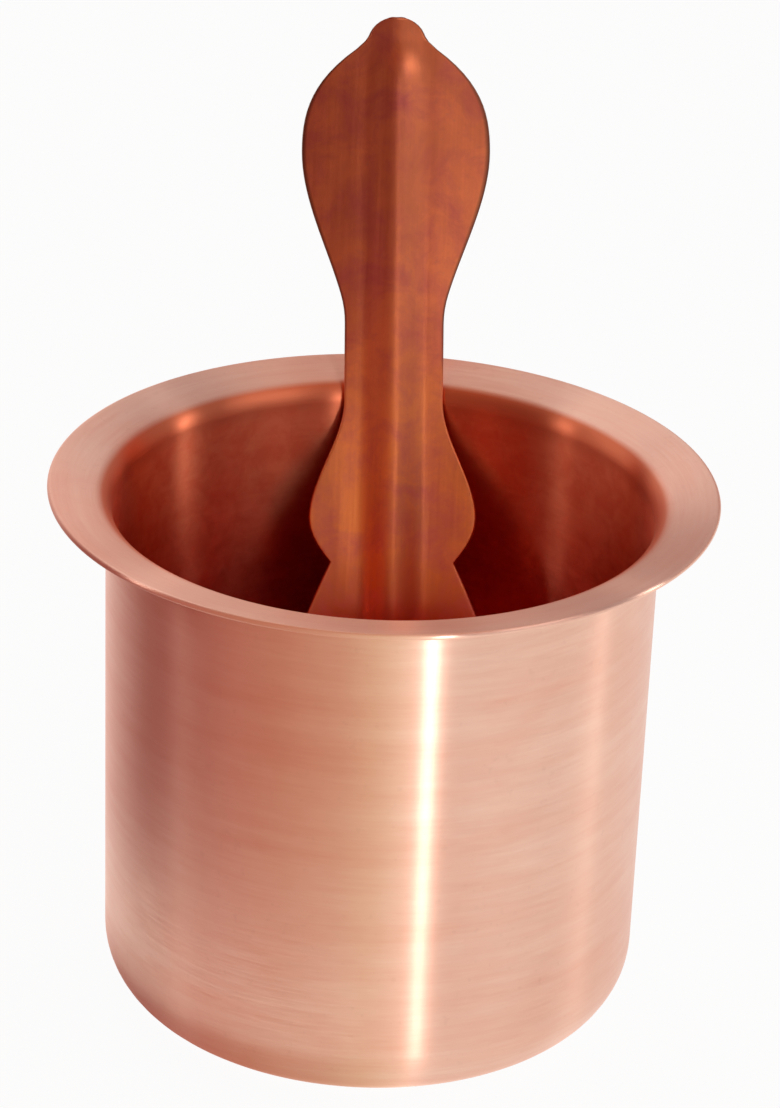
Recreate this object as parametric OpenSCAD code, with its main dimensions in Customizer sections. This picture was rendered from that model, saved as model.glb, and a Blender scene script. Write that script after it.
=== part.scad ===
// Panchpatra: a spun copper water cup with a flared lip, and the stamped copper spoon that
// stands in it. The origin is the middle of the cup's base, on the table. +Z is up, -Y is the
// front, and the spoon leans back over the +Y side of the lip. Sizes are in millimetres.

/* [Cup] */
// Outer diameter of the lip
lip_d = 88; // [82:0.5:100]
// Outer diameter of the wall at the height of the lip
body_d = 72.8; // [66:0.2:76]
// Outer diameter that the tapering wall would reach at the table
base_d = 71; // [62:0.2:76]
// Height of the cup, from the table to the top of the lip
cup_h = 74; // [60:0.5:95]
// Thickness of the cup's copper sheet
cup_t = 0.8; // [0.5:0.1:1.4]
// Outer radius of the turn from the floor into the wall
corner_r = 9.5; // [4:0.5:14]
// Radius of the turn from the wall out into the lip, on its upper side
throat_r = 2.8; // [1.8:0.1:5]
// Rise of the lip towards its edge, in degrees
lip_rise = 10.5; // [0:0.5:15]

/* [Spoon outline] */
// Length of the spoon, from the tip of the bowl to the top of the nub
spoon_l = 129.3; // [122:0.1:150]
// Width of the bowl
bowl_w = 35; // [28:0.5:42]
// Length from the tip to the widest place of the bowl
bowl_tip_l = 20; // [15:0.5:24]
// Length from the tip to the notch that ends the bowl's shoulders
shoulder_l = 54.8; // [48:0.2:58]
// Width across the notch
notch_w = 16.9; // [13:0.1:19]
// Length from the notch up to the widest place of the lobe
lobe_l = 6; // [4:0.2:8]
// Width of the lobe
lobe_w = 22.8; // [20:0.2:28]
// Length over which the lobe narrows into the neck
lobe_fall_l = 16; // [11:0.5:18]
// Width of the neck
neck_w = 13.5; // [11:0.1:17]
// Length over which the top of the neck bends outwards
neck_bend_l = 4; // [2:0.5:6]
// Length over which the spoon then widens into the hood
hood_rise_l = 19.5; // [16:0.5:23]
// Width of the hood
hood_w = 25.7; // [21:0.1:32]
// Length from the widest place of the hood to the root of the nub
hood_top_l = 15; // [11:0.2:17]
// Length of the nub
nub_l = 3.3; // [2.5:0.1:6]
// Width of the nub at its root
nub_w = 7.8; // [6:0.1:10]

/* [Spoon pressing] */
// Thickness of the spoon's copper sheet
spoon_t = 0.8; // [0.5:0.1:1.2]
// Depth that the bowl is pressed to
bowl_depth = 8; // [6:0.5:11]
// Height of the ridge that runs up the middle of the handle
ridge_h = 1.2; // [0.6:0.1:2.4]
// Width of that ridge at its foot
ridge_w = 9; // [6:0.2:12]
// How far the hood's wings fall back outside the ridge, in degrees
wing_fall = 6; // [0:1:10]
// How far the lobe's wings rise outside the ridge, in degrees
lobe_cup = 7; // [0:1:10]

/* [Resting place of the spoon] */
// How far behind the cup's axis the tip of the bowl stands
foot_back = 2; // [-8:0.5:8]
// How far to the right of the cup's axis the tip of the bowl stands
foot_side = 3; // [-4:0.5:5]
// Sideways tilt of the spoon in its own plane, in degrees
side_tilt = 1.7; // [-3:0.1:3]
// Gap that is left where the spoon rests on the cup
seat_gap = 0.25; // [0.15:0.05:0.4]

/* [Hidden] */
COPPER = [0.78, 0.46, 0.36];
SPOON_COPPER = [0.72, 0.36, 0.22];
$fn = 96;
// Steps along each round stretch of the cup's section
ARC_STEPS = 14;

// Slopes of the outline where it turns a corner: half width gained per length
SHOULDER_SLOPE = -0.48;
LOBE_SLOPE = 0.9;
HOOD_RISE_SLOPE = 0.3;
HOOD_SLOPE = -1.6;
// Length below the notch at which the bowl's hollow has run out
BOWL_END = 5;
// Lengths below the notch between which the ridge runs out into the bowl
RIDGE_FULL = 8;
RIDGE_GONE = 25;
// Length over which the ridge flattens into the nub
NUB_RUNOUT = 5;
// Share of the ridge's height that is left on the nub
NUB_RIDGE = 0.3;
// Width of the soft bend at the root of each wing
WING_BEND = 1.5;
// Angle round the bowl's tip and round the nub at which the mesh starts, so that no edge is a point
END_ANGLE = 6;
// Mesh of the spoon: spaces across, and spaces along each stretch of the outline
ACROSS = 18;
TIP_STEPS = 10;
SHOULDER_STEPS = 14;
LOBE_STEPS = 5;
LOBE_FALL_STEPS = 8;
NECK_STEPS = 2;
NECK_BEND_STEPS = 3;
HOOD_RISE_STEPS = 8;
HOOD_TOP_STEPS = 8;
NUB_STEPS = 6;
// Step to each side that finds the sheet's normal
NUDGE = 0.02;
// Widest lean that is tried for the spoon, and the number of halvings that find it
LEAN_MAX = 60;
LEAN_HALVINGS = 18;

// Cup: one sheet that runs level, up, and level again, drawn as its half section

lip_r = lip_d / 2;
taper = atan((body_d - base_d) / 2 / cup_h);
// Middle of the lip's rounded edge, and the upward normal of the lip
lip_edge = [lip_r - cup_t / 2, cup_h - cup_t / 2];
lip_up = [-sin(lip_rise), cos(lip_rise)];
// Middle of the corner between floor and wall, tangent to the table and to the wall
corner_mid = [base_d / 2 - corner_r * (1 - sin(taper)) / cos(taper), corner_r];
// Middle of the throat, tangent to the wall's outside and to the underside of the lip
throat_wall = base_d / 2 * cos(taper) + throat_r - cup_t;
throat_lip = throat_r - cup_t / 2 - lip_edge * lip_up;
throat_mid = [throat_wall * cos(lip_rise) - throat_lip * sin(taper),
              throat_wall * sin(lip_rise) - throat_lip * cos(taper)] / cos(taper + lip_rise);

// Radius of the inside of the wall at a height
function inside_r(z) = (base_d / 2 * cos(taper) - cup_t + z * sin(taper)) / cos(taper);

// Points along an arc, from one angle to another
function arc(mid, r, from_angle, to_angle) = [for (i = [0 : ARC_STEPS])
    let (a = from_angle + (to_angle - from_angle) * i / ARC_STEPS) mid + r * [cos(a), sin(a)]];

module cup_section() {
    polygon([
        [0, 0],
        each arc(corner_mid, corner_r, -90, -taper),
        each arc(throat_mid, throat_r - cup_t, 180 - taper, 90 + lip_rise),
        each arc(lip_edge, cup_t / 2, lip_rise - 90, lip_rise + 90),
        each arc(throat_mid, throat_r, 90 + lip_rise, 180 - taper),
        each arc(corner_mid, corner_r - cup_t, -taper, -90),
        [0, cup_t]
    ]);
}

module cup() {
    color(COPPER) rotate_extrude() cup_section();
}

// Spoon: one sheet, cut to an outline and pressed. It is worked out flat, with x across,
// s along from the tip, and n towards the front, and then stood in the cup.

notch_s = shoulder_l;
lobe_s = notch_s + lobe_l;
neck_low_s = lobe_s + lobe_fall_l;
nub_s = spoon_l - nub_l;
hood_s = nub_s - hood_top_l;
hood_low_s = hood_s - hood_rise_l;
neck_high_s = hood_low_s - neck_bend_l;
// Width that the bend at the top of the neck ends with
hood_low_w = neck_w + neck_bend_l * HOOD_RISE_SLOPE;

// Cubic from half width w0 and slope m0 to half width w1 and slope m1, at t of 0 to 1 along a length
function ease(t, length, w0, m0, w1, m1) =
    w0 * (1 + 2 * t) * pow(1 - t, 2) + length * m0 * t * pow(1 - t, 2)
    + w1 * t * t * (3 - 2 * t) + length * m1 * t * t * (t - 1);

function between(s, s0, s1, w0, m0, w1, m1) = ease((s - s0) / (s1 - s0), s1 - s0, w0, m0, w1, m1);

function half_width(s) =
    s < bowl_tip_l ? bowl_w / 2 * sqrt(1 - pow(1 - s / bowl_tip_l, 2)) :
    s < notch_s ? between(s, bowl_tip_l, notch_s, bowl_w / 2, 0, notch_w / 2, SHOULDER_SLOPE) :
    s < lobe_s ? between(s, notch_s, lobe_s, notch_w / 2, LOBE_SLOPE, lobe_w / 2, 0) :
    s < neck_low_s ? between(s, lobe_s, neck_low_s, lobe_w / 2, 0, neck_w / 2, 0) :
    s < neck_high_s ? neck_w / 2 :
    s < hood_low_s ? between(s, neck_high_s, hood_low_s, neck_w / 2, 0, hood_low_w / 2, HOOD_RISE_SLOPE) :
    s < hood_s ? between(s, hood_low_s, hood_s, hood_low_w / 2, HOOD_RISE_SLOPE, hood_w / 2, 0) :
    s < nub_s ? between(s, hood_s, nub_s, hood_w / 2, 0, nub_w / 2, HOOD_SLOPE) :
    nub_w / 2 * sqrt(max(0, 1 - pow((s - nub_s) / nub_l, 2)));

// Smooth step from 0 at a to 1 at b
function step(s, a, b) = let (t = min(1, max(0, (s - a) / (b - a)))) t * t * (3 - 2 * t);

// How much of the bowl's depth is pressed at s, and how much of the ridge stands there
function bowl_share(s) = s < bowl_tip_l ? 1 - pow(1 - s / bowl_tip_l, 2)
                                        : 1 - step(s, bowl_tip_l, notch_s - BOWL_END);
function ridge_share(s) = step(s, notch_s - RIDGE_GONE, notch_s - RIDGE_FULL)
                          * (1 - (1 - NUB_RIDGE) * step(s, nub_s - NUB_RUNOUT, nub_s));

function ridge(x) = abs(x) < ridge_w / 2 ? ridge_h * (1 + cos(360 * x / ridge_w)) / 2 : 0;
// The wings rise at the lobe, and turn along the neck until they fall back at the hood
function wing_slope(s) = let (t = step(s, lobe_s, hood_low_s)) tan(lobe_cup) * (1 - t) - tan(wing_fall) * t;
function wing(s, x) = let (d = max(0, abs(x) - ridge_w / 2)) wing_slope(s) * d * d / (d + WING_BEND);

// Point of the sheet's middle surface at s, and at u of -1 to 1 across
function sheet(s, u) = let (x = u * half_width(s))
    [x, s, (ridge(x) + wing(s, x)) * ridge_share(s) - bowl_depth * bowl_share(s) * (1 - u * u)];

// Unit normal of the sheet, towards the front, from points a little to each side
function normal(s, u) = let (
        up = sheet(min(s + NUDGE, spoon_l), u) - sheet(max(s - NUDGE, 0), u),
        across = sheet(s, min(u + NUDGE, 1)) - sheet(s, max(u - NUDGE, -1)),
        n = cross(across, up))
    n / norm(n);

// Places along the spoon, closer together at its two round ends
function steps(from, to, count) = [for (i = [0 : count - 1]) from + (to - from) * i / count];
stations = [
    for (i = [0 : TIP_STEPS - 1])
        bowl_tip_l * (1 - cos(END_ANGLE + (90 - END_ANGLE) * i / TIP_STEPS)),
    each steps(bowl_tip_l, notch_s, SHOULDER_STEPS),
    each steps(notch_s, lobe_s, LOBE_STEPS),
    each steps(lobe_s, neck_low_s, LOBE_FALL_STEPS),
    each steps(neck_low_s, neck_high_s, NECK_STEPS),
    each steps(neck_high_s, hood_low_s, NECK_BEND_STEPS),
    each steps(hood_low_s, hood_s, HOOD_RISE_STEPS),
    each steps(hood_s, nub_s, HOOD_TOP_STEPS),
    for (i = [0 : NUB_STEPS]) nub_s + nub_l * sin((90 - END_ANGLE) * i / NUB_STEPS)
];

// One skin of the sheet as a list of points, row by row: side is 1 for the front and -1 for the back
function skin(side) = [for (s = stations, j = [0 : ACROSS])
    let (u = 2 * j / ACROSS - 1) sheet(s, u) + side * spoon_t / 2 * normal(s, u)];
front_skin = skin(1);
back_skin = skin(-1);

// A point of the flat spoon, leaned back and stood with its tip at a height
function stand(p, lean, foot_z) = let (
        x = p.x * cos(side_tilt) - p.y * sin(side_tilt),
        s = p.x * sin(side_tilt) + p.y * cos(side_tilt))
    [foot_side + x,
     foot_back + s * sin(lean) - p.z * cos(lean),
     foot_z + s * cos(lean) + p.z * sin(lean)];

// Height of the tip at which the lowest point of the leaning spoon clears the cup's floor by the gap
function foot_height(lean) = cup_t + seat_gap - min([for (p = back_skin) stand(p, lean, 0).z]);

// Room between a point and the inside of the wall, or the round of the throat above it
function room(p) = let (r = norm([p.x, p.y]))
    p.z < throat_mid.y ? inside_r(p.z) - r : norm([r - throat_mid.x, p.z - throat_mid.y]) - throat_r;
function least_room(lean) = let (z = foot_height(lean)) min([for (p = back_skin) room(stand(p, lean, z))]);

// The spoon leans back until its back comes within the gap of the cup
function find_lean(low, high, halvings) = halvings == 0 ? low :
    let (middle = (low + high) / 2)
    least_room(middle) > seat_gap ? find_lean(middle, high, halvings - 1)
                                  : find_lean(low, middle, halvings - 1);
spoon_lean = find_lean(0, LEAN_MAX, LEAN_HALVINGS);
spoon_foot = foot_height(spoon_lean);

module spoon() {
    row = ACROSS + 1;
    count = len(stations);
    back = count * row;
    // Two triangles over each space of the grid, seen from the front
    front_faces = [for (i = [0 : count - 2], j = [0 : ACROSS - 1]) let (a = i * row + j)
        each [[a, a + row, a + 1], [a + 1, a + row, a + row + 1]]];
    back_faces = [for (f = front_faces) [f[2] + back, f[1] + back, f[0] + back]];
    // Outline of the grid in order, closed by a band between the two skins
    border = [for (j = [0 : ACROSS - 1]) j,
              for (i = [0 : count - 2]) i * row + ACROSS,
              for (j = [ACROSS : -1 : 1]) (count - 1) * row + j,
              for (i = [count - 1 : -1 : 1]) i * row];
    edge_faces = [for (k = [0 : len(border) - 1])
        let (a = border[k], b = border[(k + 1) % len(border)])
        each [[a, b, a + back], [b, b + back, a + back]]];
    color(SPOON_COPPER) polyhedron(
        [for (p = concat(front_skin, back_skin)) stand(p, spoon_lean, spoon_foot)],
        concat(front_faces, back_faces, edge_faces));
}

cup();
spoon();
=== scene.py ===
# %% [markdown]
# # A copper panchpatra
# The set is two loose pieces of copper sheet. The cup is one disc, spun over a former until it
# has a floor, a straight wall and a broad flat lip. The spoon is one blank, cut out and pressed.
# This lesson models both by hand, gives them a worked copper finish and lights them.
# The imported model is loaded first, because it fixes where every piece is and how it moves.

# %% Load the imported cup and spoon
import math

import bmesh
import bpy
from mathutils import Matrix, Vector


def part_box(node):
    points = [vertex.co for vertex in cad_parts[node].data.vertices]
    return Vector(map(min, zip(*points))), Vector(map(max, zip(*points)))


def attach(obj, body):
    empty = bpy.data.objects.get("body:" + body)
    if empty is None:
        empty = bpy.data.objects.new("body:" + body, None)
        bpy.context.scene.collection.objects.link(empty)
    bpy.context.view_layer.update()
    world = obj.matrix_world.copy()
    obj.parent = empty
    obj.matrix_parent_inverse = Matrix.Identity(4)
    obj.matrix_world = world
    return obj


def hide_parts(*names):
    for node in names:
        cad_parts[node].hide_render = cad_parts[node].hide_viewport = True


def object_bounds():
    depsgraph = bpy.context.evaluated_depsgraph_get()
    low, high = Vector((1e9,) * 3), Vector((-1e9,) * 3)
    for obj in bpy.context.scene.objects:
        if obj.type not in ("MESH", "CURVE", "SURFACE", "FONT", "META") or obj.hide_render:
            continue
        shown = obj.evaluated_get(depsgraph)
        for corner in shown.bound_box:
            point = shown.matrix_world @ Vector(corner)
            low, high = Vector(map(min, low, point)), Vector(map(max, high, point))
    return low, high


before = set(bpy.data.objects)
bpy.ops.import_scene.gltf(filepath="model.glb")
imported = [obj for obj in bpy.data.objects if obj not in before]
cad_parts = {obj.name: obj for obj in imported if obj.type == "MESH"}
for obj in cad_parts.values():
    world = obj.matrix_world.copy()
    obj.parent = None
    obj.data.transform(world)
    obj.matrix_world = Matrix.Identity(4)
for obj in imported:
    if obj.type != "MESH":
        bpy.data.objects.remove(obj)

MM = 0.001
cad_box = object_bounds()
box_mm = [[round(place / MM, 1) for place in corner] for corner in cad_box]
print("nodes:", sorted(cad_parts), "box in mm:", box_mm)

# %% [markdown]
# ## Working without a mouse
# Operators act on whatever is selected. Each piece therefore starts with nothing selected, and
# is shaped in edit mode, where code picks the vertices that a hand would click on.

# %% Helpers for picking up and putting down a piece
def put_down():
    """Leave edit mode and deselect everything."""
    if bpy.context.object and bpy.context.object.mode != "OBJECT":
        bpy.ops.object.mode_set(mode="OBJECT")
    bpy.ops.object.select_all(action="DESELECT")


def pick_up(piece):
    """Make one piece the only one that operators can touch."""
    put_down()
    piece.select_set(True)
    bpy.context.view_layer.objects.active = piece


def pick_vertices(piece, wanted):
    """In edit mode, select the vertices that a test accepts, and only those."""
    work = bmesh.from_edit_mesh(piece.data)
    for vertex in work.verts:
        vertex.select = wanted(vertex)
    work.select_flush_mode()
    bmesh.update_edit_mesh(piece.data)


def apply_modifiers(piece):
    """Turn every modifier into plain mesh, in order."""
    pick_up(piece)
    for name in [modifier.name for modifier in piece.modifiers]:
        bpy.ops.object.modifier_apply(modifier=name)


# %% [markdown]
# ## The cup's section
# A spinner presses a flat disc against a turning former, so the cup is the same all the way
# round. A primitive cylinder could be extruded ring by ring, but the throat and the corner are
# true arcs, and those are easiest in a flat drawing. So the section of the sheet is drawn once,
# as a row of vertices: lines are extruded and arcs are spun. It goes out along the underside,
# up the outside, round the lip's edge and back along the inside.

# %% Sizes of the cup
cup_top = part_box("cup")[1]
LIP_R = cup_top.x
CUP_H = cup_top.z
SHEET = 0.8 * MM
WALL_TOP_R = 36.4 * MM
WALL_FOOT_R = 35.5 * MM
CORNER_R = 9.5 * MM
THROAT_R = 2.8 * MM
LIP_RISE = math.radians(10.5)

taper = math.atan2(WALL_TOP_R - WALL_FOOT_R, CUP_H)
lip_up = Vector((-math.sin(LIP_RISE), 0, math.cos(LIP_RISE)))
lip_edge = Vector((LIP_R - SHEET / 2, 0, CUP_H - SHEET / 2))
corner_mid = Vector((WALL_FOOT_R - CORNER_R * (1 - math.sin(taper)) / math.cos(taper), 0, CORNER_R))

# The throat's middle is one radius from the wall and one from the lip: two lines that cross
from_wall = WALL_FOOT_R * math.cos(taper) + THROAT_R - SHEET
from_lip = THROAT_R - SHEET / 2 - lip_edge.dot(lip_up)
throat_mid = Vector((
    from_wall * math.cos(LIP_RISE) - from_lip * math.sin(taper),
    0,
    from_wall * math.sin(LIP_RISE) - from_lip * math.cos(taper),
)) / math.cos(taper + LIP_RISE)
print("throat centre in mm:", [round(place / MM, 2) for place in throat_mid])

# %% Pens for the lines and arcs of a section
LINE_STEP = 2 * MM
ARC_STEPS = 16


def start_drawing(name):
    """Start a piece as one selected vertex at the origin, in edit mode."""
    put_down()
    bpy.ops.mesh.primitive_plane_add(size=SHEET)
    piece = bpy.context.object
    piece.name = piece.data.name = name
    bpy.ops.object.mode_set(mode="EDIT")
    bpy.ops.mesh.merge(type="CENTER")
    bpy.ops.mesh.select_all(action="SELECT")
    return piece


def around(middle, radius, angle):
    """The point of the section's plane at an angle round a middle."""
    return middle + radius * Vector((math.cos(angle), 0, math.sin(angle)))


def pen_point(piece):
    """Where the drawing has got to: the one selected vertex."""
    work = bmesh.from_edit_mesh(piece.data)
    return next(vertex.co.copy() for vertex in work.verts if vertex.select)


def draw_line(piece, end):
    """Extrude the last vertex to a point, in short even steps."""
    way = end - pen_point(piece)
    steps = max(1, round(way.length / LINE_STEP))
    for _ in range(steps):
        bpy.ops.mesh.extrude_vertices_move(TRANSFORM_OT_translate={"value": way / steps})


def draw_arc(piece, middle, angle):
    """Spin the last vertex round a middle, counterclockwise where the angle is positive."""
    bpy.ops.mesh.spin(steps=ARC_STEPS, angle=angle, center=middle, axis=(0, 1, 0))


# %% Draw the section as a row of vertices
QUARTER = math.pi / 2
wall_turn = QUARTER - taper
throat_turn = QUARTER - taper - LIP_RISE

cup = start_drawing("spun_cup")
draw_line(cup, Vector((corner_mid.x, 0, 0)))
draw_arc(cup, corner_mid, wall_turn)
draw_line(cup, around(throat_mid, THROAT_R - SHEET, math.pi - taper))
draw_arc(cup, throat_mid, -throat_turn)
draw_line(cup, around(lip_edge, SHEET / 2, LIP_RISE - QUARTER))
draw_arc(cup, lip_edge, math.pi)
draw_line(cup, around(throat_mid, THROAT_R, QUARTER + LIP_RISE))
draw_arc(cup, throat_mid, throat_turn)
draw_line(cup, around(corner_mid, CORNER_R - SHEET, -taper))
draw_arc(cup, corner_mid, -wall_turn)
draw_line(cup, Vector((0, 0, SHEET)))
print("section of", len(bmesh.from_edit_mesh(cup.data).verts), "vertices")

# %% Spin the section into the cup
ROUND_STEPS = 192
WELD = 0.001 * MM
bpy.ops.mesh.select_all(action="SELECT")
bpy.ops.mesh.spin(steps=ROUND_STEPS, angle=2 * math.pi, center=(0, 0, 0), axis=(0, 0, 1))
bpy.ops.mesh.select_all(action="SELECT")
bpy.ops.mesh.remove_doubles(threshold=WELD)
bpy.ops.mesh.normals_make_consistent(inside=False)
bpy.ops.object.mode_set(mode="OBJECT")
bpy.ops.object.shade_smooth()
print("cup of", len(cup.data.polygons), "faces")

# %% [markdown]
# ## The spoon's blank
# The handle is a stylised hood: a nub on top, a broad hood, a slim neck, a lobe and a sharp
# notch, and below it the shoulders flare into the bowl. The blank could be traced as one big
# face, but a pressed sheet needs an even grid to bend well. So a grid is laid down, and each of
# its rows is moved and scaled to the width that the outline has there.

# %% Sizes of the spoon: places along it, from the tip of the bowl, and widths
SPOON_L = 129.3 * MM
BOWL_W = 35 * MM
BOWL_TIP_L = 20 * MM
NOTCH_S = 54.8 * MM
NOTCH_W = 16.9 * MM
LOBE_S = NOTCH_S + 6 * MM
LOBE_W = 22.8 * MM
NECK_LOW_S = LOBE_S + 16 * MM
NECK_W = 13.5 * MM
NUB_L = 3.3 * MM
NUB_W = 7.8 * MM
NUB_S = SPOON_L - NUB_L
HOOD_S = NUB_S - 15 * MM
HOOD_W = 25.7 * MM
HOOD_LOW_S = HOOD_S - 19.5 * MM
NECK_BEND_L = 4 * MM
NECK_HIGH_S = HOOD_LOW_S - NECK_BEND_L
# Slopes of the outline at its corners: half width gained for each length
SHOULDER_SLOPE = -0.48
LOBE_SLOPE = 0.9
HOOD_RISE_SLOPE = 0.3
HOOD_SLOPE = -1.6
HOOD_LOW_W = NECK_W + NECK_BEND_L * HOOD_RISE_SLOPE
NUB_ROUND = 1.1 * MM
print("neck of", round((NECK_HIGH_S - NECK_LOW_S) / MM, 1), "mm between lobe and hood")

# %% Outline of the spoon: half of the width at each place
def ease(s, low, high, start, start_slope, end, end_slope):
    """Cubic between two places along the spoon, with a set half width and slope at each."""
    t = (s - low) / (high - low)
    rise = t * t * (3 - 2 * t)
    bend = start_slope * t * (1 - t) ** 2 + end_slope * t * t * (t - 1)
    return start + (end - start) * rise + (high - low) * bend


def cut_width(s):
    """Half of the blank's width at a place along the spoon, as it is cut out."""
    if s < BOWL_TIP_L:
        return BOWL_W / 2 * math.sqrt(1 - (1 - s / BOWL_TIP_L) ** 2)
    if s < NOTCH_S:
        return ease(s, BOWL_TIP_L, NOTCH_S, BOWL_W / 2, 0, NOTCH_W / 2, SHOULDER_SLOPE)
    if s < LOBE_S:
        return ease(s, NOTCH_S, LOBE_S, NOTCH_W / 2, LOBE_SLOPE, LOBE_W / 2, 0)
    if s < NECK_LOW_S:
        return ease(s, LOBE_S, NECK_LOW_S, LOBE_W / 2, 0, NECK_W / 2, 0)
    if s < NECK_HIGH_S:
        return NECK_W / 2
    if s < HOOD_LOW_S:
        return ease(s, NECK_HIGH_S, HOOD_LOW_S, NECK_W / 2, 0, HOOD_LOW_W / 2, HOOD_RISE_SLOPE)
    if s < HOOD_S:
        return ease(s, HOOD_LOW_S, HOOD_S, HOOD_LOW_W / 2, HOOD_RISE_SLOPE, HOOD_W / 2, 0)
    if s < NUB_S:
        return ease(s, HOOD_S, NUB_S, HOOD_W / 2, 0, NUB_W / 2, HOOD_SLOPE)
    return NUB_W / 2 * math.sqrt(max(0, 1 - ((s - NUB_S) / NUB_L) ** 2))


def half_width(s):
    """The same, with the corner at the root of the nub filed round."""
    low, high = NUB_S - NUB_ROUND, NUB_S + NUB_ROUND
    if not low < s < high:
        return cut_width(s)
    low_slope = (cut_width(low) - cut_width(low - WELD)) / WELD
    high_slope = (cut_width(high + WELD) - cut_width(high)) / WELD
    return ease(s, low, high, cut_width(low), low_slope, cut_width(high), high_slope)


root_w = 2 * half_width(NUB_S)
print("nub's root filed from", round(NUB_W / MM, 2), "to", round(root_w / MM, 2), "mm wide")

# %% Lay down the grid and scale its rows to the outline
ACROSS = 36
ROW_STEP = 1.1 * MM
# The rows start a little inside the two round ends, where the outline still has some width
END_ANGLE = math.radians(6)
TIP_ROWS = 18
NUB_ROWS = 8


def even_rows(low, high):
    """Places from low up to, but not including, high."""
    count = round((high - low) / ROW_STEP)
    return [low + (high - low) * i / count for i in range(count)]


tip_angles = [END_ANGLE + (QUARTER - END_ANGLE) * i / TIP_ROWS for i in range(TIP_ROWS)]
nub_angles = [(QUARTER - END_ANGLE) * i / NUB_ROWS for i in range(NUB_ROWS + 1)]
corners = [BOWL_TIP_L, NOTCH_S, LOBE_S, NECK_LOW_S, NECK_HIGH_S, HOOD_LOW_S, HOOD_S, NUB_S]
rows = [BOWL_TIP_L * (1 - math.cos(angle)) for angle in tip_angles]
for low, high in zip(corners, corners[1:]):
    rows += even_rows(low, high)
rows += [NUB_S + NUB_L * math.sin(angle) for angle in nub_angles]

put_down()
bpy.ops.mesh.primitive_grid_add(x_subdivisions=ACROSS, y_subdivisions=len(rows) - 1, size=1)
spoon = bpy.context.object
spoon.name = spoon.data.name = "pressed_spoon"
bpy.ops.object.mode_set(mode="EDIT")
for number, s in enumerate(rows):
    pick_vertices(spoon, lambda vertex: vertex.index // (ACROSS + 1) == number)
    first_place = number / (len(rows) - 1) - 0.5
    bpy.ops.transform.resize(value=(2 * half_width(s), 1, 1))
    bpy.ops.transform.translate(value=(0, s - first_place, 0))
print("blank of", len(rows), "rows, each of", ACROSS, "faces")

# %% [markdown]
# ## Pressing the blank
# One stroke of a die hollows the bowl and raises a round ridge up the middle of the handle,
# which makes thin sheet stiff. Outside the ridge the wings rise a little at the lobe, and turn
# along the neck until they fall back at the hood.
# A die is a height for every place on the sheet, so this step is a formula and not an operator.

# %% The die: bowl, ridge and wings
BOWL_DEPTH = 8 * MM
BOWL_END = 5 * MM
RIDGE_H = 1.2 * MM
RIDGE_W = 9 * MM
RIDGE_FULL = 8 * MM
RIDGE_GONE = 25 * MM
NUB_RUNOUT = 5 * MM
NUB_RIDGE = 0.3
WING_FALL = math.tan(math.radians(6))
LOBE_CUP = math.tan(math.radians(7))
WING_BEND = 1.5 * MM


def soft_step(s, low, high):
    """0 before low, 1 after high, and a smooth rise between."""
    t = min(1, max(0, (s - low) / (high - low)))
    return t * t * (3 - 2 * t)


def bowl_share(s):
    """How much of the bowl's depth is reached along the middle."""
    if s < BOWL_TIP_L:
        return 1 - (1 - s / BOWL_TIP_L) ** 2
    return 1 - soft_step(s, BOWL_TIP_L, NOTCH_S - BOWL_END)


def ridge_share(s):
    """How much of the ridge stands: none in the bowl, a little on the nub."""
    nub_loss = (1 - NUB_RIDGE) * soft_step(s, NUB_S - NUB_RUNOUT, NUB_S)
    return soft_step(s, NOTCH_S - RIDGE_GONE, NOTCH_S - RIDGE_FULL) * (1 - nub_loss)


def wing_slope(s):
    """How steeply the wings rise outside the ridge. Where it is below 0 they fall back."""
    turn = soft_step(s, LOBE_S, HOOD_LOW_S)
    return LOBE_CUP * (1 - turn) - WING_FALL * turn


def die_height(x, s):
    """Height of the die under a point of the flat blank."""
    out = max(0, abs(x) - RIDGE_W / 2)
    wing = wing_slope(s) * out * out / (out + WING_BEND)
    ridge = RIDGE_H * (1 + math.cos(2 * math.pi * x / RIDGE_W)) / 2 if out == 0 else 0
    hollow = BOWL_DEPTH * bowl_share(s) * (1 - (x / half_width(s)) ** 2)
    return (ridge + wing) * ridge_share(s) - hollow


print("ridge on the nub:", round(RIDGE_H * ridge_share(NUB_S) / MM, 2), "mm high")

# %% Press the blank, and mark its cut edge
work = bmesh.from_edit_mesh(spoon.data)
rim_layer = work.verts.layers.float.new("rim")
for vertex in work.verts:
    s = vertex.co.y
    # The cut edge, which the finish darkens on the upper half of the handle
    vertex[rim_layer] = soft_step(s, NECK_LOW_S, NECK_HIGH_S) if vertex.is_boundary else 0
    vertex.co.z = die_height(vertex.co.x, s)
bmesh.update_edit_mesh(spoon.data)
heights = [vertex.co.z / MM for vertex in work.verts]
print("pressed from", round(min(heights), 2), "to", round(max(heights), 2), "mm")

# %% [markdown]
# ## Thickness, and a place in the cup
# The sheet gets its thickness from Solidify, half to each side, and Bevel breaks the cut edge as
# a file would. Then the whole mesh is tilted, leaned back and moved to where the tip of the bowl
# stands on the cup's floor. The object itself stays at the origin.

# %% Thicken the sheet and break its edges
SPOON_SHEET = 0.8 * MM
FILED_EDGE = 0.2 * MM
FILED_STEPS = 3
SHARP = math.radians(50)
bpy.ops.object.mode_set(mode="OBJECT")
thicken = spoon.modifiers.new("sheet", "SOLIDIFY")
thicken.thickness = SPOON_SHEET
thicken.offset = 0
thicken.use_even_offset = True
break_edge = spoon.modifiers.new("filed_edge", "BEVEL")
break_edge.width = FILED_EDGE
break_edge.segments = FILED_STEPS
break_edge.limit_method = "ANGLE"
break_edge.angle_limit = SHARP
break_edge.use_clamp_overlap = False
apply_modifiers(spoon)
bpy.ops.object.shade_smooth()
print("spoon of", len(spoon.data.polygons), "faces")

# %% Stand the spoon in the cup
SIDE_TILT = math.radians(1.7)
LEAN = math.radians(24.794)
FOOT = Vector((3, 2, 1.361)) * MM


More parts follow.
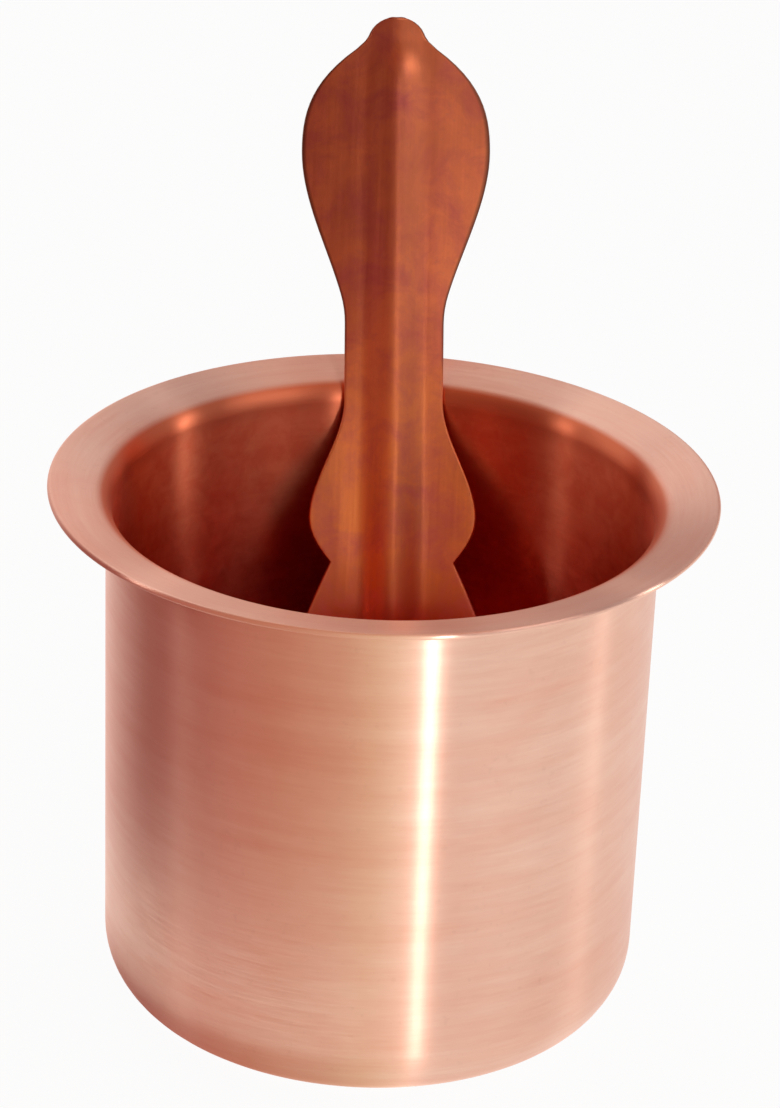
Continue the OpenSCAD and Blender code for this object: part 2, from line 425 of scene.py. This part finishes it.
def turn_mesh(angle, axis):
    """Turn all of the mesh in edit mode about the origin, counterclockwise about the axis."""
    bpy.ops.transform.rotate(value=-angle, orient_axis=axis, center_override=(0, 0, 0))


pick_up(spoon)
bpy.ops.object.mode_set(mode="EDIT")
bpy.ops.mesh.select_all(action="SELECT")
turn_mesh(SIDE_TILT, "Z")
turn_mesh(QUARTER - LEAN, "X")
bpy.ops.transform.translate(value=FOOT)
bpy.ops.object.mode_set(mode="OBJECT")
top_error = max(vertex.co.z for vertex in spoon.data.vertices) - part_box("spoon")[1].z
print("spoon's top is off the packed one by", round(top_error / MM, 3), "mm")

# %% [markdown]
# ## Copper
# Both pieces are the same metal with different work on it. The cup was polished while it turned,
# so fine rings run round it and stretch every highlight across them. The spoon was wiped along
# its length. Handling leaves redder, duller clouds and a few dark specks on both.
# The rings and the clouds are node groups, so that each finish can use them with its own values.

# %% Helpers for node trees
VECTOR = "NodeSocketVector"
FLOAT = "NodeSocketFloat"
FLAT = (1, 1, 0)
UP = (0, 0, 1)


def add_node(tree, kind, links=None, **values):
    """Add a node, set plain values on its sockets, and link other sockets to it."""
    node = tree.nodes.new(kind)
    for name, value in values.items():
        node.inputs[name.replace("_", " ")].default_value = value
    for name, source in (links or {}).items():
        tree.links.new(source, node.inputs[name])
    return node


def add_math(tree, operation, *terms):
    """Add a Math node. Each of its terms is a number or a socket."""
    node = tree.nodes.new("ShaderNodeMath")
    node.operation = operation
    for socket, term in zip(node.inputs, terms):
        if isinstance(term, bpy.types.NodeSocket):
            tree.links.new(term, socket)
        else:
            socket.default_value = term
    return node.outputs[0]


def add_vector(tree, operation, first, second=None):
    """Add a Vector Math node. The second term is a vector, a socket or nothing."""
    node = tree.nodes.new("ShaderNodeVectorMath")
    node.operation = operation
    tree.links.new(first, node.inputs[0])
    term = node.inputs["Scale"] if operation == "SCALE" else node.inputs[1]
    if isinstance(second, bpy.types.NodeSocket):
        tree.links.new(second, term)
    elif second is not None:
        term.default_value = second
    return node.outputs["Value" if operation in {"LENGTH", "DOT_PRODUCT"} else "Vector"]


def add_range(tree, value, found, wanted=(0, 1), smooth=False):
    """Map the values of a socket from the range found there to a wanted one, and clamp them."""
    node = add_node(
        tree, "ShaderNodeMapRange", {"Value": value},
        From_Min=found[0], From_Max=found[1], To_Min=wanted[0], To_Max=wanted[1],
    )
    if smooth:
        node.interpolation_type = "SMOOTHSTEP"
    return node.outputs["Result"]


def new_group(name, inputs, outputs):
    """Start a shader node group with named sockets, and return it with its two ends."""
    group = bpy.data.node_groups.new(name, "ShaderNodeTree")
    for socket_name, kind in inputs:
        group.interface.new_socket(socket_name, in_out="INPUT", socket_type=kind)
    for socket_name in outputs:
        group.interface.new_socket(socket_name, in_out="OUTPUT", socket_type=FLOAT)
    return group, group.nodes.new("NodeGroupInput"), group.nodes.new("NodeGroupOutput")


# %% Group: rings left by polishing on the lathe
# A point's height plus its distance from the axis grows all the way along the section, so it
# numbers the rings on floor, wall and lip alike. Noise is read at that number and at the point's
# direction from the axis, which closes without a seam.
lathe_rings, ends_in, ends_out = new_group(
    "lathe_rings", [("Position", VECTOR), ("Rings per Metre", FLOAT), ("Wander", FLOAT)], ["Rings"]
)
flat = add_vector(lathe_rings, "MULTIPLY", ends_in.outputs["Position"], FLAT)
direction = add_vector(lathe_rings, "NORMALIZE", flat)
wander = add_vector(lathe_rings, "SCALE", direction, ends_in.outputs["Wander"])
height = add_vector(lathe_rings, "DOT_PRODUCT", ends_in.outputs["Position"], UP)
along = add_math(lathe_rings, "ADD", add_vector(lathe_rings, "LENGTH", flat), height)
number = add_math(lathe_rings, "MULTIPLY", along, ends_in.outputs["Rings per Metre"])
lift = add_node(lathe_rings, "ShaderNodeCombineXYZ", {"Z": number})
spot = add_vector(lathe_rings, "ADD", wander, lift.outputs["Vector"])
noise = add_node(
    lathe_rings, "ShaderNodeTexNoise", {"Vector": spot}, Scale=1, Detail=2, Roughness=0.6
)
lathe_rings.links.new(noise.outputs["Fac"], ends_out.inputs["Rings"])
print("group", lathe_rings.name, "with", len(lathe_rings.nodes), "nodes")

# %% Group: clouds and specks left by handling
# Only the peaks of the noise show
CLOUD_PEAKS = (0.42, 0.72)
SPECK_PEAKS = (0.66, 0.78)
handling, ends_in, ends_out = new_group(
    "handling", [("Position", VECTOR), ("Clouds per Metre", FLOAT), ("Specks per Metre", FLOAT)],
    ["Clouds", "Specks"],
)
cloud = add_node(
    handling, "ShaderNodeTexNoise",
    {"Vector": ends_in.outputs["Position"], "Scale": ends_in.outputs["Clouds per Metre"]},
    Detail=5, Roughness=0.62, Distortion=0.4,
)
speck = add_node(
    handling, "ShaderNodeTexNoise",
    {"Vector": ends_in.outputs["Position"], "Scale": ends_in.outputs["Specks per Metre"]},
    Detail=1, Roughness=0.5,
)
cloud_mask = add_range(handling, cloud.outputs["Fac"], CLOUD_PEAKS)
speck_mask = add_range(handling, speck.outputs["Fac"], SPECK_PEAKS)
handling.links.new(cloud_mask, ends_out.inputs["Clouds"])
handling.links.new(speck_mask, ends_out.inputs["Specks"])
print("group", handling.name, "with", len(handling.nodes), "nodes")

# %% [markdown]
# ## The cup's finish
# Rings of three widths carry the polish: the two broader ones shift the tone a little, and the
# finest roughen and dent the surface. Anisotropy with a tangent that runs round the axis stretches
# highlights upwards, which is what makes spun metal look spun. Inside, where water stands and
# nobody polishes, the skin is redder and mottled: partly tarnish, and partly painted shade that
# stands in for light reddened by bouncing round the cup. A painted shade band darkens the throat,
# and painted shade deepens the colour towards the floor. The inner skin could be a second
# material on its own faces, but a mask from the normal and the height lets one finish turn into
# the other within a millimetre, as it does on the real throat.

# %% Helpers for materials
# A Mix node has sockets for every kind of data, and these are the ones for colours
MIX_FIRST, MIX_SECOND, MIX_RESULT = 6, 7, 2


def new_finish(name):
    """Start a metal, and return its material, tree, shader and the object's own coordinates."""
    material = bpy.data.materials.new(name)
    material.use_nodes = True
    tree = material.node_tree
    shader = tree.nodes["Principled BSDF"]
    shader.inputs["Metallic"].default_value = 1
    position = tree.nodes.new("ShaderNodeTexCoord").outputs["Object"]
    return material, tree, shader, position


def add_group(tree, group, position, **values):
    """Place a node group in a material, with its own values."""
    node = tree.nodes.new("ShaderNodeGroup")
    node.node_tree = group
    tree.links.new(position, node.inputs["Position"])
    for name, value in values.items():
        node.inputs[name.replace("_", " ")].default_value = value
    return node


def add_up(tree, start, patterns):
    """Add weighted patterns, each a socket and its weight, to a number."""
    total = start
    for socket, weight in patterns:
        total = add_math(tree, "MULTIPLY_ADD", socket, weight, total)
    return total


def mix_colours(tree, amount, first, second):
    """Mix two colours, each a colour or a socket, by an amount."""
    node = tree.nodes.new("ShaderNodeMix")
    node.data_type = "RGBA"
    tree.links.new(amount, node.inputs["Factor"])
    for place, colour in ((MIX_FIRST, first), (MIX_SECOND, second)):
        if isinstance(colour, bpy.types.NodeSocket):
            tree.links.new(colour, node.inputs[place])
        else:
            node.inputs[place].default_value = (*colour, 1)
    return node.outputs[MIX_RESULT]


# %% Cup: rings, and the colour of the polished outside
PALE_COPPER = (0.98, 0.645, 0.495)
RED_COPPER = (0.87, 0.43, 0.30)
SPECK_BROWN = (0.45, 0.19, 0.12)
BAND_WEIGHT = 0.8
LINE_WEIGHT = 0.5
CLOUD_WEIGHT = 0.35
SPECK_WEIGHT = 0.07
# Brings the sum of the patterns down, so that most of the outside stays pale
OUTSIDE_SHIFT = -0.36

cup_finish, tree, shader, position = new_finish("spun_copper")
bands = add_group(tree, lathe_rings, position, Rings_per_Metre=330, Wander=0.8)
lines = add_group(tree, lathe_rings, position, Rings_per_Metre=1900, Wander=5)
grain = add_group(tree, lathe_rings, position, Rings_per_Metre=4200, Wander=6)
marks = add_group(tree, handling, position, Clouds_per_Metre=38, Specks_per_Metre=900)
rings = [(bands.outputs["Rings"], BAND_WEIGHT), (lines.outputs["Rings"], LINE_WEIGHT)]
tone = add_up(tree, OUTSIDE_SHIFT, rings + [(marks.outputs["Clouds"], CLOUD_WEIGHT)])
colour = mix_colours(tree, tone, PALE_COPPER, RED_COPPER)
speck_amount = add_math(tree, "MULTIPLY", marks.outputs["Specks"], SPECK_WEIGHT)
outside = mix_colours(tree, speck_amount, colour, SPECK_BROWN)
print("outside with", len(tree.nodes), "nodes")

# %% Cup: colour of the inner skin
# Painted shade: a darker brown band on the throat, just below the lip
THROAT_PAINTED_SHADE = (0.76, 0.21, 0.10)
# Partly tarnish, partly painted shade: the inner skin's red stands in for light reddened by
# bouncing round the cup
INSIDE_TARNISH_AND_SHADE_RED = (1.0, 0.33, 0.165)
INSIDE_TARNISH_AND_SHADE_DARK = (0.90, 0.225, 0.108)
# Painted shade: the inner skin is painted darker and redder towards the floor
DEEP_PAINTED_SHADE_RED = (0.92, 0.23, 0.14)
DEEP_PAINTED_SHADE_DARK = (0.72, 0.145, 0.08)
INSIDE_SHIFT = -0.35
# Depths below the top of the lip between which one thing turns into another
TARNISH_AND_SHADE_DEPTHS = (1.0 * MM, 1.6 * MM)
THROAT_SHADE_DEPTHS = (2.5 * MM, 6 * MM)
DEEP_SHADE_DEPTHS = (10 * MM, 34 * MM)

# The inner skin faces up or towards the axis, and below the top of the lip it takes the inside's
# colour: partly tarnish, partly painted shade
face = tree.nodes.new("ShaderNodeTexCoord").outputs["Normal"]
outward = add_vector(tree, "NORMALIZE", add_vector(tree, "MULTIPLY", position, FLAT))
upward_share = add_vector(tree, "DOT_PRODUCT", face, UP)
outward_share = add_vector(tree, "DOT_PRODUCT", face, outward)
inner = add_math(tree, "GREATER_THAN", upward_share, outward_share)
height = add_vector(tree, "DOT_PRODUCT", position, UP)


def depth_share(depths):
    """0 above the first of two depths, 1 below the second, and a smooth rise between."""
    return add_range(tree, height, [CUP_H - depth for depth in depths], smooth=True)


tarnish_and_shade = add_math(tree, "MULTIPLY", inner, depth_share(TARNISH_AND_SHADE_DEPTHS))
mottle = add_group(tree, handling, position, Clouds_per_Metre=260, Specks_per_Metre=900)
inside_tone = add_up(tree, INSIDE_SHIFT, rings + [(mottle.outputs["Clouds"], 1)])
# Inner skin colour: partly tarnish, partly painted shade
upper_tarnish_and_shade = mix_colours(tree, inside_tone, INSIDE_TARNISH_AND_SHADE_RED, INSIDE_TARNISH_AND_SHADE_DARK)
# Painted shade, deeper towards the floor
deep_painted_shade = mix_colours(tree, inside_tone, DEEP_PAINTED_SHADE_RED, DEEP_PAINTED_SHADE_DARK)
inside = mix_colours(tree, depth_share(DEEP_SHADE_DEPTHS), upper_tarnish_and_shade, deep_painted_shade)
# Painted shade: the throat just below the lip is painted dark brown
inside = mix_colours(tree, depth_share(THROAT_SHADE_DEPTHS), THROAT_PAINTED_SHADE, inside)
tree.links.new(mix_colours(tree, tarnish_and_shade, outside, inside), shader.inputs["Base Color"])
print("outside and inside with", len(tree.nodes), "nodes")

# %% Cup: roughness, grooves, and the way that they run
CUP_ROUGHNESS = (0.285, 0.345)
INSIDE_ROUGHNESS = (0.285, 0.315)
DULL_TOP = 0.05
DULL_DEPTHS = (4 * MM, 20 * MM)
GRAIN_PEAKS = (0.3, 0.7)
GROOVE_SHARE = 0.6
INSIDE_GROOVES = 0.2
GROOVE_DEPTH = 0.035 * MM

# The inner skin is dullest at the top
dull = add_math(tree, "MULTIPLY_ADD", depth_share(DULL_DEPTHS), -DULL_TOP, DULL_TOP)
outside_rough = add_range(tree, grain.outputs["Rings"], GRAIN_PEAKS, CUP_ROUGHNESS)
inside_rough = add_range(tree, grain.outputs["Rings"], GRAIN_PEAKS, INSIDE_ROUGHNESS)
inside_rough = add_math(tree, "ADD", inside_rough, dull)
rough = add_node(
    tree, "ShaderNodeMix", {"Factor": tarnish_and_shade, "A": outside_rough, "B": inside_rough}
)
tree.links.new(rough.outputs["Result"], shader.inputs["Roughness"])
# The grooves are deeper inside, where nobody polished them out
groove_share = add_math(tree, "MULTIPLY_ADD", tarnish_and_shade, INSIDE_GROOVES, GROOVE_SHARE)
groove_height = add_math(tree, "MULTIPLY", grain.outputs["Rings"], groove_share)
grooves = add_node(
    tree, "ShaderNodeBump", {"Height": groove_height}, Strength=0.5, Distance=GROOVE_DEPTH
)
tree.links.new(grooves.outputs["Normal"], shader.inputs["Normal"])
round_way = tree.nodes.new("ShaderNodeTangent")
round_way.direction_type = "RADIAL"
round_way.axis = "Z"
tree.links.new(round_way.outputs["Tangent"], shader.inputs["Tangent"])
shader.inputs["Anisotropic"].default_value = 1
# A quarter turn, so that highlights stretch across the rings and not along them
shader.inputs["Anisotropic Rotation"].default_value = 0.25
print("finish", cup_finish.name, "with", len(tree.nodes), "nodes")

# %% [markdown]
# ## The spoon's finish
# The spoon is darker and more orange, with no rings. Fine lines from wiping run up the handle, so
# the coordinates are leaned to match the spoon and squeezed along its length before noise is read.
# Red clouds mottle it. Below the lip it is painted more orange, a painted reflection of the light
# reddened inside the cup, and the end low in the cup is painted browner as painted shade. The cut
# edge of the upper handle, which the "rim" attribute marks, is painted dark brown.

# %% Spoon: lines from wiping, and colour
ORANGE_COPPER = (0.88, 0.25, 0.10)
BROWN_COPPER = (0.55, 0.145, 0.07)
# Painted reflection: the light reddened inside the cup, painted as a deeper orange below the lip
LOW_PAINTED_REDDENED_LIGHT = (0.84, 0.245, 0.07)
CRIMSON_COPPER = (0.57, 0.125, 0.10)
# Painted shade: the spoon's end low in the cup is painted brown
LOW_END_PAINTED_SHADE = (0.48, 0.10, 0.035)
EDGE_BROWN = (0.16, 0.06, 0.035)
WIPE_STRETCH = (2200, 2200, 60)
WIPE_WEIGHT = 0.35
STAIN_WEIGHT = 0.6
BLUSH_WEIGHT = 0.85
SPOON_SPECK_WEIGHT = 0.15
# How far the cut edge of the upper handle is darkened towards dark brown
EDGE_DARK_WEIGHT = 1.2
# Heights between which the painted reflection below the lip turns into plain orange, and between
# which the painted shade of the low end starts
REDDENED_LIGHT_HEIGHTS = (CUP_H - 14 * MM, CUP_H + 12 * MM)
LOW_END_SHADE_HEIGHTS = (CUP_H - 21 * MM, CUP_H - 29 * MM)

spoon_finish, tree, shader, position = new_finish("pressed_copper")
leaned = add_node(tree, "ShaderNodeMapping", {"Vector": position}, Rotation=(LEAN, 0, 0))
stretched = add_vector(tree, "MULTIPLY", leaned.outputs["Vector"], WIPE_STRETCH)
wipe = add_node(
    tree, "ShaderNodeTexNoise", {"Vector": stretched}, Scale=1, Detail=2, Roughness=0.6
)
marks = add_group(tree, handling, position, Clouds_per_Metre=70, Specks_per_Metre=1100)
blush = add_group(tree, handling, position, Clouds_per_Metre=190, Specks_per_Metre=2300)
rim = tree.nodes.new("ShaderNodeAttribute")
rim.attribute_name = "rim"
tone = add_up(
    tree, 0, [(wipe.outputs["Fac"], WIPE_WEIGHT), (marks.outputs["Clouds"], STAIN_WEIGHT)]
)
blush_amount = add_math(tree, "MULTIPLY", blush.outputs["Clouds"], BLUSH_WEIGHT)
speck_amount = add_math(tree, "MULTIPLY", marks.outputs["Specks"], SPOON_SPECK_WEIGHT)
# Darkens the cut edge of the upper handle
edge_dark_amount = add_math(tree, "MULTIPLY", rim.outputs["Fac"], EDGE_DARK_WEIGHT)
height = add_vector(tree, "DOT_PRODUCT", position, UP)
# Below the lip the copper is painted more orange, a painted reflection of the light reddened inside
# the cup, and the low end is painted brown as painted shade of the cup
base_and_painted_light = mix_colours(tree, add_range(tree, height, REDDENED_LIGHT_HEIGHTS), LOW_PAINTED_REDDENED_LIGHT, ORANGE_COPPER)
# Painted shade: the end low in the cup is painted brown
base_and_painted_light = mix_colours(tree, add_range(tree, height, LOW_END_SHADE_HEIGHTS), base_and_painted_light, LOW_END_PAINTED_SHADE)
colour = mix_colours(tree, tone, base_and_painted_light, BROWN_COPPER)
colour = mix_colours(tree, blush_amount, colour, CRIMSON_COPPER)
colour = mix_colours(tree, speck_amount, colour, SPECK_BROWN)
colour = mix_colours(tree, edge_dark_amount, colour, EDGE_BROWN)
tree.links.new(colour, shader.inputs["Base Color"])
print("colour with", len(tree.nodes), "nodes")

# %% Spoon: roughness, and the relief of the lines
SPOON_ROUGHNESS = (0.30, 0.38)
WIPE_DEPTH = 0.02 * MM
rough = add_range(tree, wipe.outputs["Fac"], GRAIN_PEAKS, SPOON_ROUGHNESS)
tree.links.new(rough, shader.inputs["Roughness"])
relief = add_node(
    tree, "ShaderNodeBump", {"Height": wipe.outputs["Fac"]}, Strength=0.15, Distance=WIPE_DEPTH
)
tree.links.new(relief.outputs["Normal"], shader.inputs["Normal"])
print("finish", spoon_finish.name, "with", len(tree.nodes), "nodes")

# %% Put the finishes on, and let the pieces ride on their bodies
for piece, finish, body in ((cup, cup_finish, "cup"), (spoon, spoon_finish, "spoon")):
    piece.data.materials.clear()
    piece.data.materials.append(finish)
    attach(piece, body)
    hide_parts(body)
    print(piece.name, "rides on", body)

# %% [markdown]
# ## Floor, light and camera
# Metal shows what is around it, so the room matters as much as the finish. The room is dim and
# warm in front and on the left, paler on the right and pink behind. Two curved cards at the left
# of the cup, one standing and one lying, shade the wall from pale to red. Broad soft lamps stand
# behind on the left and high on the right. Slim ones draw the lines: one beside the camera for the
# bright upright line on the wall, a dim one above it for the spoon, and one at each side for the
# two streaks inside.

# %% Floor: white to the eye and in reflections, apart from a faint shadow
FLOOR_HALF = 3.0
FLOOR_GLOW = 0.95
FLOOR_PAINT = (0.92, 0.92, 0.92, 1)
put_down()
bpy.ops.mesh.primitive_plane_add(size=2 * FLOOR_HALF)
floor = bpy.context.object
floor.name = "floor"
floor_paint = bpy.data.materials.new("pale_floor")
floor_paint.use_nodes = True
tree = floor_paint.node_tree
paint = tree.nodes["Principled BSDF"]
paint.inputs["Base Color"].default_value = FLOOR_PAINT
paint.inputs["Roughness"].default_value = 0.9
paint.inputs["Specular IOR Level"].default_value = 0.1
white = add_node(tree, "ShaderNodeEmission", Color=(1, 1, 1, 1), Strength=1)
path = tree.nodes.new("ShaderNodeLightPath")
seen = add_math(tree, "MAXIMUM", path.outputs["Is Camera Ray"], path.outputs["Is Glossy Ray"])
seen = add_math(tree, "MAXIMUM", seen, path.outputs["Is Transmission Ray"])
seen = add_math(tree, "MULTIPLY", seen, FLOOR_GLOW)
blend = add_node(tree, "ShaderNodeMixShader", {0: seen, 1: paint.outputs[0], 2: white.outputs[0]})
tree.links.new(blend.outputs[0], tree.nodes["Material Output"].inputs["Surface"])
floor.data.materials.append(floor_paint)
print("floor", 2 * FLOOR_HALF, "m across")

# %% World: dim and warm in front and on the left, paler on the right, pink behind, red overhead
FRONT_WARM = (0.27, 0.14, 0.125)
LEFT_DIM = (0.19, 0.085, 0.08)
RIGHT_PALE = (0.44, 0.375, 0.41)
BACK_PINK = (0.52, 0.46, 0.48)
BACK_LOW = (0.55, 0.25, 0.17)
CEILING = (0.60, 0.30, 0.20)
FRONT_LEFT_WAY = (-0.866, -0.5, 0)
RIGHT_WAY = (0.966, -0.259, 0)
BACK_WAY = (0, 1, 0)
# Where each colour starts and where it is full, as cosines of the angle from its direction
LEFT_SPAN = (0.55, 0.95)
RIGHT_SPAN = (0.29, 0.52)
BACK_SPAN = (0.1, 0.6)
BACK_RISE_SPAN = (0.0, 0.45)
CEILING_SPAN = (0.8, 0.97)
world = bpy.data.worlds.new("room")
bpy.context.scene.world = world
world.use_nodes = True
tree = world.node_tree
heading = tree.nodes.new("ShaderNodeTexCoord").outputs["Generated"]


def share_towards(way, span):
    """How far the room has turned towards a direction, from 0 to 1."""
    return add_range(tree, add_vector(tree, "DOT_PRODUCT", heading, way), span, smooth=True)


room = mix_colours(tree, share_towards(FRONT_LEFT_WAY, LEFT_SPAN), FRONT_WARM, LEFT_DIM)
room = mix_colours(tree, share_towards(RIGHT_WAY, RIGHT_SPAN), room, RIGHT_PALE)
back_colour = mix_colours(tree, share_towards(UP, BACK_RISE_SPAN), BACK_LOW, BACK_PINK)
room = mix_colours(tree, share_towards(BACK_WAY, BACK_SPAN), room, back_colour)
room = mix_colours(tree, share_towards(UP, CEILING_SPAN), room, CEILING)
tree.links.new(room, tree.nodes["Background"].inputs["Color"])
print("room with", len(tree.nodes), "nodes")

# %% Paint of the cards: pale in front, warm brown on the left, white behind
# Each stop is an angle round the cup in degrees, 0 at the front, with its colour
CARD_STOPS = [
    (-150, (1, 0.90, 0.90)),
    (-120, (0.85, 0.72, 0.72)),
    (-104, (0.60, 0.44, 0.44)),
    (-84, (0.33, 0.14, 0.135)),
    (-68, (0.345, 0.137, 0.132)),
    (-47, (0.49, 0.23, 0.20)),
    (-29, (0.56, 0.30, 0.235)),
    (-10, (0.68, 0.49, 0.40)),
    (0, (0.80, 0.70, 0.56)),
    (12, (1, 0.98, 0.92)),
]
CARD_FROM = CARD_STOPS[0][0]
CARD_TO = CARD_STOPS[-1][0]
card_paint = bpy.data.materials.new("graduated_paint")
card_paint.use_nodes = True
tree = card_paint.node_tree
position = tree.nodes.new("ShaderNodeTexCoord").outputs["Object"]
parts = add_node(tree, "ShaderNodeSeparateXYZ", {0: position})
forward = add_math(tree, "MULTIPLY", parts.outputs["Y"], -1)
turn = add_math(tree, "DEGREES", add_math(tree, "ARCTAN2", parts.outputs["X"], forward))
ramp = add_node(
    tree, "ShaderNodeValToRGB", {"Fac": add_range(tree, turn, (CARD_FROM, CARD_TO))}
)
while len(ramp.color_ramp.elements) < len(CARD_STOPS):
    ramp.color_ramp.elements.new(0.5)
for element, (angle, colour) in zip(ramp.color_ramp.elements, CARD_STOPS):
    element.position = (angle - CARD_FROM) / (CARD_TO - CARD_FROM)
    element.color = (*colour, 1)
glow = add_node(tree, "ShaderNodeEmission", {"Color": ramp.outputs["Color"]}, Strength=1)
tree.links.new(glow.outputs[0], tree.nodes["Material Output"].inputs["Surface"])
print("paint with", len(CARD_STOPS), "stops")

# %% Cards: one stands round the left of the cup, and one lies on the floor there
CARD_STEPS = 64
STANDING_R = 66 * MM
STANDING_LOW = 5 * MM
STANDING_HIGH = 121 * MM
LYING_INNER_R = 31 * MM
LYING_OUTER_R = 47 * MM
LYING_H = 0.4 * MM
card_start = math.radians(CARD_FROM)
card_turn = math.radians(CARD_TO - CARD_FROM)
card_way = Vector((math.sin(card_start), -math.cos(card_start), 0))


def add_card(name, low, high):
    """Draw a line between two places, each a radius and a height, and spin it round the cup."""
    card = start_drawing(name)
    first, last = (radius * card_way + Vector((0, 0, up)) for radius, up in (low, high))
    bpy.ops.transform.translate(value=first)
    bpy.ops.mesh.extrude_vertices_move(TRANSFORM_OT_translate={"value": last - first})
    bpy.ops.mesh.select_all(action="SELECT")
    bpy.ops.mesh.spin(steps=CARD_STEPS, angle=card_turn, center=(0, 0, 0), axis=(0, 0, -1))
    bpy.ops.object.mode_set(mode="OBJECT")
    card.data.materials.append(card_paint)
    card.visible_camera = card.visible_diffuse = card.visible_shadow = False
    print(name, "of", len(card.data.polygons), "faces, box", [round(c, 3) for c in card.dimensions])


add_card("standing_card", (STANDING_R, STANDING_LOW), (STANDING_R, STANDING_HIGH))
add_card("lying_card", (LYING_INNER_R, LYING_H), (LYING_OUTER_R, LYING_H))


# %% Lamps
def add_lamp(name, azimuth, elevation, distance, size, watts, aim):
    """Add a soft rectangular lamp, placed by its direction from the aim. Azimuth 0 is the front."""
    lamp = bpy.data.lights.new(name, "AREA")
    lamp.shape = "RECTANGLE"
    lamp.size, lamp.size_y = size
    lamp.energy = watts
    holder = bpy.data.objects.new(name, lamp)
    bpy.context.scene.collection.objects.link(holder)
    side, up = math.radians(azimuth), math.radians(elevation)
    way = Vector((math.sin(side) * math.cos(up), -math.cos(side) * math.cos(up), math.sin(up)))
    holder.location = aim + distance * way
    holder.rotation_euler = way.to_track_quat("Z", "Y").to_euler()
    holder.visible_camera = False
    print(name, "at", [round(c, 2) for c in holder.location])


MOUTH_DEPTH = 14 * MM
middle = Vector((0, 0, CUP_H / 2))
mouth = Vector((0, 0, CUP_H - MOUTH_DEPTH))
add_lamp(
    "softbox_behind", azimuth=-150, elevation=40, distance=0.9,
    size=(0.8, 0.6), watts=0.9, aim=middle,
)
add_lamp(
    "softbox_right", azimuth=62, elevation=48, distance=0.9,
    size=(0.45, 0.4), watts=0.8, aim=middle,
)
add_lamp(
    "slim_lamp", azimuth=20.5, elevation=5.5, distance=0.5,
    size=(0.022, 0.13), watts=0.38, aim=middle,
)
add_lamp(
    "tall_lamp", azimuth=12, elevation=28, distance=0.5,
    size=(0.012, 0.2), watts=0.045, aim=middle,
)
add_lamp(
    "strip_right", azimuth=98, elevation=22, distance=0.4,
    size=(0.010, 0.15), watts=0.13, aim=mouth,
)
add_lamp(
    "strip_left", azimuth=-87, elevation=30, distance=0.4,
    size=(0.010, 0.13), watts=0.08, aim=mouth,
)

# %% Camera
CAMERA_AWAY = 0.7
CAMERA_ELEVATION = math.radians(25.38)
CAMERA_ROLL = math.radians(2.26)
CAMERA_AIM = Vector((1.07, 0, 64.24)) * MM
PHOTO_LONG_SIDE = 1108
PIXELS_PER_MM = 7.609
SENSOR = 36.0

camera_data = bpy.data.cameras.new("camera")
camera_data.sensor_width = SENSOR
camera_data.lens = PIXELS_PER_MM * CAMERA_AWAY / MM * SENSOR / PHOTO_LONG_SIDE
camera = bpy.data.objects.new("camera", camera_data)
bpy.context.scene.collection.objects.link(camera)
back = Vector((0, -math.cos(CAMERA_ELEVATION), math.sin(CAMERA_ELEVATION)))
tilt = Matrix.Rotation(QUARTER - CAMERA_ELEVATION, 4, "X") @ Matrix.Rotation(CAMERA_ROLL, 4, "Z")
camera.matrix_world = Matrix.Translation(CAMERA_AIM + CAMERA_AWAY * back) @ tilt
bpy.context.scene.camera = camera
bpy.context.scene.view_settings.view_transform = "Standard"
# Light goes from wall to wall inside the cup many times before it comes out, redder each time
bpy.context.scene.cycles.glossy_bounces = 10
print("lens of", round(camera_data.lens, 1), "mm")
